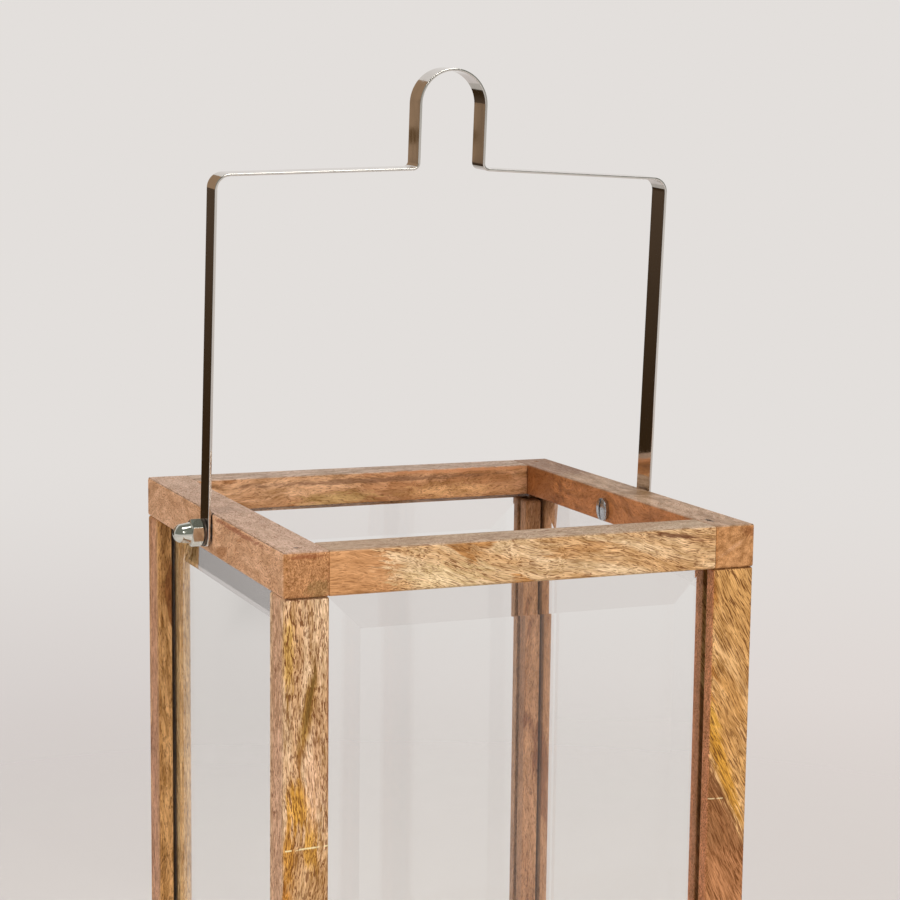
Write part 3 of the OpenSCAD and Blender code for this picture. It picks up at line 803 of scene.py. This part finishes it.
def drillPivotHoles(piece):
    drill = bpy.data.meshes.new("pivotDrill")
    bm = bmesh.new()
    along = Matrix.Rotation(math.pi / 2, 4, "Y")
    bmesh.ops.create_cone(
        bm, cap_ends=True, segments=strapSteps["hole"], depth=strapSteps["drillLength"],
        radius1=strap["hole"], radius2=strap["hole"],
        matrix=Matrix.Translation((0, 0, strap["pivot"])) @ along,
    )
    bm.to_mesh(drill)
    bm.free()
    drillPiece = bpy.data.objects.new("pivotDrill", drill)
    bpy.context.scene.collection.objects.link(drillPiece)
    bore = piece.modifiers.new("pivotHoles", "BOOLEAN")
    bore.object = drillPiece
    bore.operation = "DIFFERENCE"
    bore.solver = "EXACT"
    bpy.context.view_layer.objects.active = piece
    piece.select_set(True)
    bpy.ops.object.modifier_apply(modifier=bore.name)
    bpy.data.objects.remove(drillPiece)


handle = strapHandle()
drillPivotHoles(handle)
handle.data.shade_smooth()
handle.data.set_sharp_from_angle(angle=strapSteps["sharpFrom"])
flatShading = handle.modifiers.new("flatShading", "WEIGHTED_NORMAL")  # keeps the flats true
flatShading.weight = 100
flatShading.keep_sharp = True
print("stage: strap handle made")


acornNut = {
    "flats": 10.0 * mm, "hexHeight": 5.0 * mm, "height": 12.0 * mm,
    "dome": 4.5 * mm,                       # radius where the dome leaves the hexagon
    "nose": 3.95 * mm, "cap": 3.7 * mm,     # radius and height of the dome's round end
    "seat": 102.9 * mm,                     # from the lantern's middle to the nut's flat face
    "bore": 3.05 * mm, "boreDepth": 8.0 * mm, "lead": 0.5 * mm,
    "drillTip": 0.8 * mm, "drillPoint": 0.061 * mm,
    "chamfer": math.radians(30), "rimShare": 0.97, "fillet": 0.12 * mm,
    "sides": 96, "capSteps": 20, "tip": 0.004 * mm,
    "easedEdge": 0.14 * mm, "easedFrom": math.radians(18),
}


def hexWall(angle, flats):
    # distance from the axis to the hexagon's wall, its corners at 0, 60, 120 degrees
    local = (angle + math.pi / 6) % (math.pi / 3) - math.pi / 6
    return flats / 2 / math.cos(math.pi / 6 - abs(local))


def acornNutPiece(side, name, node):
    n, steps = acornNut["sides"], acornNut["capSteps"]
    flats, high = acornNut["flats"], acornNut["hexHeight"]
    bore, boreDepth, fillet = acornNut["bore"], acornNut["boreDepth"], acornNut["fillet"]
    dome, nose, cap = acornNut["dome"], acornNut["nose"], acornNut["cap"]
    rim = flats / 2 * acornNut["rimShare"]
    slope = math.tan(acornNut["chamfer"])
    neckTop = acornNut["height"] - cap
    angles = [2 * math.pi * i / n for i in range(n)]
    walls = [hexWall(a, flats) for a in angles]

    def ring(radius, z):
        return [(radius * math.cos(a), radius * math.sin(a), z) for a in angles]

    def hexRing(base, rise):
        return [(w * math.cos(a), w * math.sin(a), base + rise * ((w - rim) * slope))
                for w, a in zip(walls, angles)]

    rings = [
        ring(acornNut["drillPoint"], boreDepth), ring(bore, boreDepth - acornNut["drillTip"]),
        ring(bore, acornNut["lead"]), ring(bore + acornNut["lead"], 0.0), ring(rim, 0.0),
        hexRing(0.0, 1), hexRing(high, -1), ring(rim, high),
        ring(dome + fillet, high), ring(dome, high + fillet),
    ]
    for i in range(steps + 1):
        a = math.pi / 2 * i / steps
        radius = max(nose * math.cos(a), acornNut["tip"])
        rings.append(ring(radius, neckTop + cap * math.sin(a)))
    outward = Matrix.Rotation(side * math.pi / 2, 4, "Y")
    place = Matrix.Translation((side * acornNut["seat"], 0, strap["pivot"])) @ outward
    points = [place @ Vector(p) for r in rings for p in r]
    faces = [
        (i * n + k, i * n + (k + 1) % n, (i + 1) * n + (k + 1) % n, (i + 1) * n + k)
        for i in range(len(rings) - 1) for k in range(n)
    ]
    faces.append(tuple(range(n)))
    faces.append(tuple((len(rings) - 1) * n + k for k in range(n)))
    nutMetal = metalMaterials["brightNut"]
    piece = meshPiece(name, points, faces, nutMetal, "body", node)
    ease = piece.modifiers.new("easeEdges", "BEVEL")
    ease.limit_method = "ANGLE"
    ease.angle_limit = acornNut["easedFrom"]
    ease.width = acornNut["easedEdge"]
    ease.segments = 2
    ease.harden_normals = True


acornNutPiece(-1, "acornNutLeft", "left_acorn_nut")
acornNutPiece(1, "acornNutRight", "right_acorn_nut")
print("stage: acorn nuts made")


# The camera was found by matching the frame's corners and the strap.
view = {
    "at": (-0.3366, -0.8278, 0.4431),
    "yaw": math.radians(22.566), "pitch": math.radians(7.762), "roll": math.radians(0.671),
    "focalPixels": 2107.7, "pixelsWide": 900, "sensor": 36,
}
camera = bpy.data.objects.new("camera", bpy.data.cameras.new("camera"))
bpy.context.scene.collection.objects.link(camera)
ahead = Vector((
    math.sin(view["yaw"]) * math.cos(view["pitch"]),
    math.cos(view["yaw"]) * math.cos(view["pitch"]),
    -math.sin(view["pitch"]),
))
right = Vector((math.cos(view["yaw"]), -math.sin(view["yaw"]), 0))
up = right.cross(ahead)
c, s = math.cos(view["roll"]), math.sin(view["roll"])
across, upright = c * right + s * up, c * up - s * right
camera.matrix_world = Matrix((
    (across.x, upright.x, -ahead.x, view["at"][0]),
    (across.y, upright.y, -ahead.y, view["at"][1]),
    (across.z, upright.z, -ahead.z, view["at"][2]),
    (0, 0, 0, 1),
))
camera.data.sensor_width = view["sensor"]
camera.data.lens = view["focalPixels"] / view["pixelsWide"] * view["sensor"]
camera.data.clip_start, camera.data.clip_end = 0.01, 100
bpy.context.scene.camera = camera


studio = {
    "backdropLow": hexColour("D5CECB"), "backdropLowRight": hexColour("DED6D2"),
    "backdropHigh": hexColour("E3DFDC"),
    "rightwards": (0.2, 0.55), "horizon": (-0.28, -0.13),    # where these three tones change
    "room": (0.205, 0.212, 0.185),       # what polished metal sees in front and above
    # in these directions it sees the backdrop instead
    "behind": (0.25, 0.55), "overhead": (0.92, 0.65), "below": (-0.02, -0.16),
    "ambient": (1.0, 0.985, 0.965), "ambientStrength": 0.60,
}
world = bpy.data.worlds.new("studioWorld")
bpy.context.scene.world = world
world.use_nodes = True
sky = world.node_tree
sky.nodes.clear()
direction = addNode(sky, "ShaderNodeTexCoord").outputs["Generated"]
heading = addNode(sky, "ShaderNodeSeparateXYZ", {0: direction}).outputs
toRight = remap(sky, heading[0], *studio["rightwards"])
lowTone = mixColour(sky, toRight, studio["backdropLow"], studio["backdropLowRight"])
rise = remap(sky, heading[2], *studio["horizon"])
backdrop = mixColour(sky, rise, lowTone, studio["backdropHigh"])
behind = doMath(
    sky, "MULTIPLY", remap(sky, heading[1], *studio["behind"]),
    remap(sky, heading[2], *studio["overhead"]),
)
paleShare = doMath(sky, "MAXIMUM", behind, remap(sky, heading[2], *studio["below"]))
reflected = mixColour(sky, paleShare, studio["room"], backdrop)
path = addNode(sky, "ShaderNodeLightPath").outputs
mirrored = doMath(sky, "SUBTRACT", path["Is Glossy Ray"], path["Is Transmission Ray"])
seenColour = mixColour(sky, mirrored, backdrop, reflected)
shown = addNode(sky, "ShaderNodeBackground", {"Color": seenColour, "Strength": 1.0})
lighting = addNode(
    sky, "ShaderNodeBackground",
    {"Color": (*studio["ambient"], 1.0), "Strength": studio["ambientStrength"]},
)
seen = doMath(sky, "MAXIMUM", path["Is Glossy Ray"], path["Is Transmission Ray"])
seen = doMath(sky, "MAXIMUM", path["Is Camera Ray"], seen)
both = addNode(
    sky, "ShaderNodeMixShader", {0: seen, 1: lighting.outputs[0], 2: shown.outputs[0]}
)
addNode(sky, "ShaderNodeOutputWorld", {"Surface": both.outputs[0]})

# The floor fades out into the backdrop between these distances from the lantern.
studioFloor = {
    "halfSize": 1.2, "colour": hexColour("DBD5D2"), "roughness": 0.9, "shine": 0.1,
    "solid": 0.28, "clear": 0.95,
}
floorMesh = bpy.data.meshes.new("studioFloor")
reach = studioFloor["halfSize"]
floorMesh.from_pydata(
    [(x * reach, y * reach, 0) for x, y in ((-1, -1), (1, -1), (1, 1), (-1, 1))],
    [], [(0, 1, 2, 3)],
)
floor = bpy.data.objects.new("studioFloor", floorMesh)
bpy.context.scene.collection.objects.link(floor)
floorMaterial, tree, shader = newMaterial("studioFloor")
shader.inputs["Base Color"].default_value = (*studioFloor["colour"], 1.0)
shader.inputs["Roughness"].default_value = studioFloor["roughness"]
shader.inputs["Specular IOR Level"].default_value = studioFloor["shine"]
place = addNode(tree, "ShaderNodeTexCoord").outputs["Object"]
away = addNode(tree, "ShaderNodeVectorMath", {0: place}, operation="LENGTH").outputs["Value"]
fade = remap(tree, away, studioFloor["solid"], studioFloor["clear"])
gone = addNode(tree, "ShaderNodeBsdfTransparent")
blended = addNode(
    tree, "ShaderNodeMixShader", {0: fade, 1: shader.outputs[0], 2: gone.outputs[0]}
)
tree.links.new(blended.outputs[0], tree.nodes["Material Output"].inputs["Surface"])
floorMesh.materials.append(floorMaterial)

lampAim = Vector((0, 0, 0.25))
softboxes = {
    "frontBox": {
        "at": (0.45, -1.9, 1.02), "size": 0.8, "power": 17, "colour": (1.0, 0.97, 0.93),
    },
    "overheadBox": {
        "at": (0.35, -0.5, 1.95), "size": 0.9, "power": 9, "colour": (1.0, 0.99, 0.97),
    },
    "sideFill": {
        "at": (-1.8, -0.3, 0.9), "size": 1.4, "power": 15, "colour": (1.0, 0.98, 0.96),
        "reflected": False,
    },
}
for name, box in softboxes.items():
    lamp = bpy.data.lights.new(name, "AREA")
    lamp.shape = "SQUARE"
    lamp.size = box["size"]
    lamp.energy = box["power"]
    lamp.color = box["colour"]
    holder = bpy.data.objects.new(name, lamp)
    bpy.context.scene.collection.objects.link(holder)
    holder.location = box["at"]
    aim = lampAim - Vector(box["at"])
    holder.rotation_euler = aim.to_track_quat("-Z", "Y").to_euler()
    holder.visible_glossy = box.get("reflected", True)
    holder.visible_transmission = False

# A studio flag behind the lantern, which only mirror reflections see: its glowing tones are
# painted reflections, the strap's brown reflections and a dark patch on the left loop leg. Its
# tones change over these heights and widths, measured from its middle.
flagBoard = {
    "middle": (-0.75, 1.35, 0.33), "width": 1.5, "height": 1.8, "turn": math.radians(25),
    "low": (0.0375, 0.0204, 0.0085), "haze": (0.090, 0.060, 0.039), "hazeRise": (-0.25, 0.16),
    "high": (0.34, 0.225, 0.14), "highRise": (0.098, 0.118),
    "loopAt": 0.158, "loopReach": (0.005, 0.022), "loopShare": 0.45,    # less high tone here
    "foot": (0.50, 0.47, 0.44), "footFall": (-0.36, -0.44),
    "rightFootFall": (-0.30, -0.33), "rightFootFrom": (0.20, 0.26),
    "paintedLegReflection": (0.106, 0.057, 0.021), "paintedLegReflectionAt": (0.188, 0.0, 0.1435),
    "paintedLegReflectionWidth": 0.020, "paintedLegReflectionHeight": 0.011, "paintedLegReflectionCore": 0.7,
}
flagMesh = bpy.data.meshes.new("studioFlag")
w, h = flagBoard["width"] / 2, flagBoard["height"] / 2
flagMesh.from_pydata([(-w, 0, -h), (w, 0, -h), (w, 0, h), (-w, 0, h)], [], [(0, 1, 2, 3)])
flag = bpy.data.objects.new("studioFlag", flagMesh)
bpy.context.scene.collection.objects.link(flag)
flag.location = flagBoard["middle"]
flag.rotation_euler = (0, 0, flagBoard["turn"])
flagMaterial, tree, shader = newMaterial("studioFlag")
place = addNode(tree, "ShaderNodeTexCoord").outputs["Object"]
sideways, _, height = addNode(tree, "ShaderNodeSeparateXYZ", {0: place}).outputs
tone = mixColour(
    tree, remap(tree, height, *flagBoard["hazeRise"]), flagBoard["low"], flagBoard["haze"]
)
fromLoop = doMath(tree, "ABSOLUTE", doMath(tree, "SUBTRACT", sideways, flagBoard["loopAt"]))
highShare = doMath(
    tree, "MULTIPLY", remap(tree, height, *flagBoard["highRise"]),
    remap(tree, fromLoop, *flagBoard["loopReach"], flagBoard["loopShare"], 1.0),
)
tone = mixColour(tree, highShare, tone, flagBoard["high"])
footShare = doMath(
    tree, "MULTIPLY", remap(tree, height, *flagBoard["rightFootFall"]),
    remap(tree, sideways, *flagBoard["rightFootFrom"]),
)
footShare = doMath(tree, "MAXIMUM", footShare, remap(tree, height, *flagBoard["footFall"]))
tone = mixColour(tree, footShare, tone, flagBoard["foot"])
# painted reflection: a dark patch that the left loop leg mirrors
paintedLegReflection = vector(tree, "SUBTRACT", place, flagBoard["paintedLegReflectionAt"])
paintedLegReflection = stretch(
    tree, paintedLegReflection, (1 / flagBoard["paintedLegReflectionWidth"], 0.0, 1 / flagBoard["paintedLegReflectionHeight"])
)
paintedLegReflection = addNode(tree, "ShaderNodeVectorMath", {0: paintedLegReflection}, operation="LENGTH").outputs["Value"]
paintedLegReflectionShare = remap(tree, paintedLegReflection, 1.0, flagBoard["paintedLegReflectionCore"])
tone = mixColour(tree, paintedLegReflectionShare, tone, flagBoard["paintedLegReflection"])
glow = addNode(tree, "ShaderNodeEmission", {"Color": tone, "Strength": 1.0})
tree.links.new(glow.outputs[0], tree.nodes["Material Output"].inputs["Surface"])
flagMesh.materials.append(flagMaterial)
flag.visible_camera = False
flag.visible_diffuse = False
flag.visible_transmission = False
flag.visible_shadow = False
flag.visible_volume_scatter = False

bpy.context.scene.view_settings.view_transform = "Standard"
print("stage: studio ready")
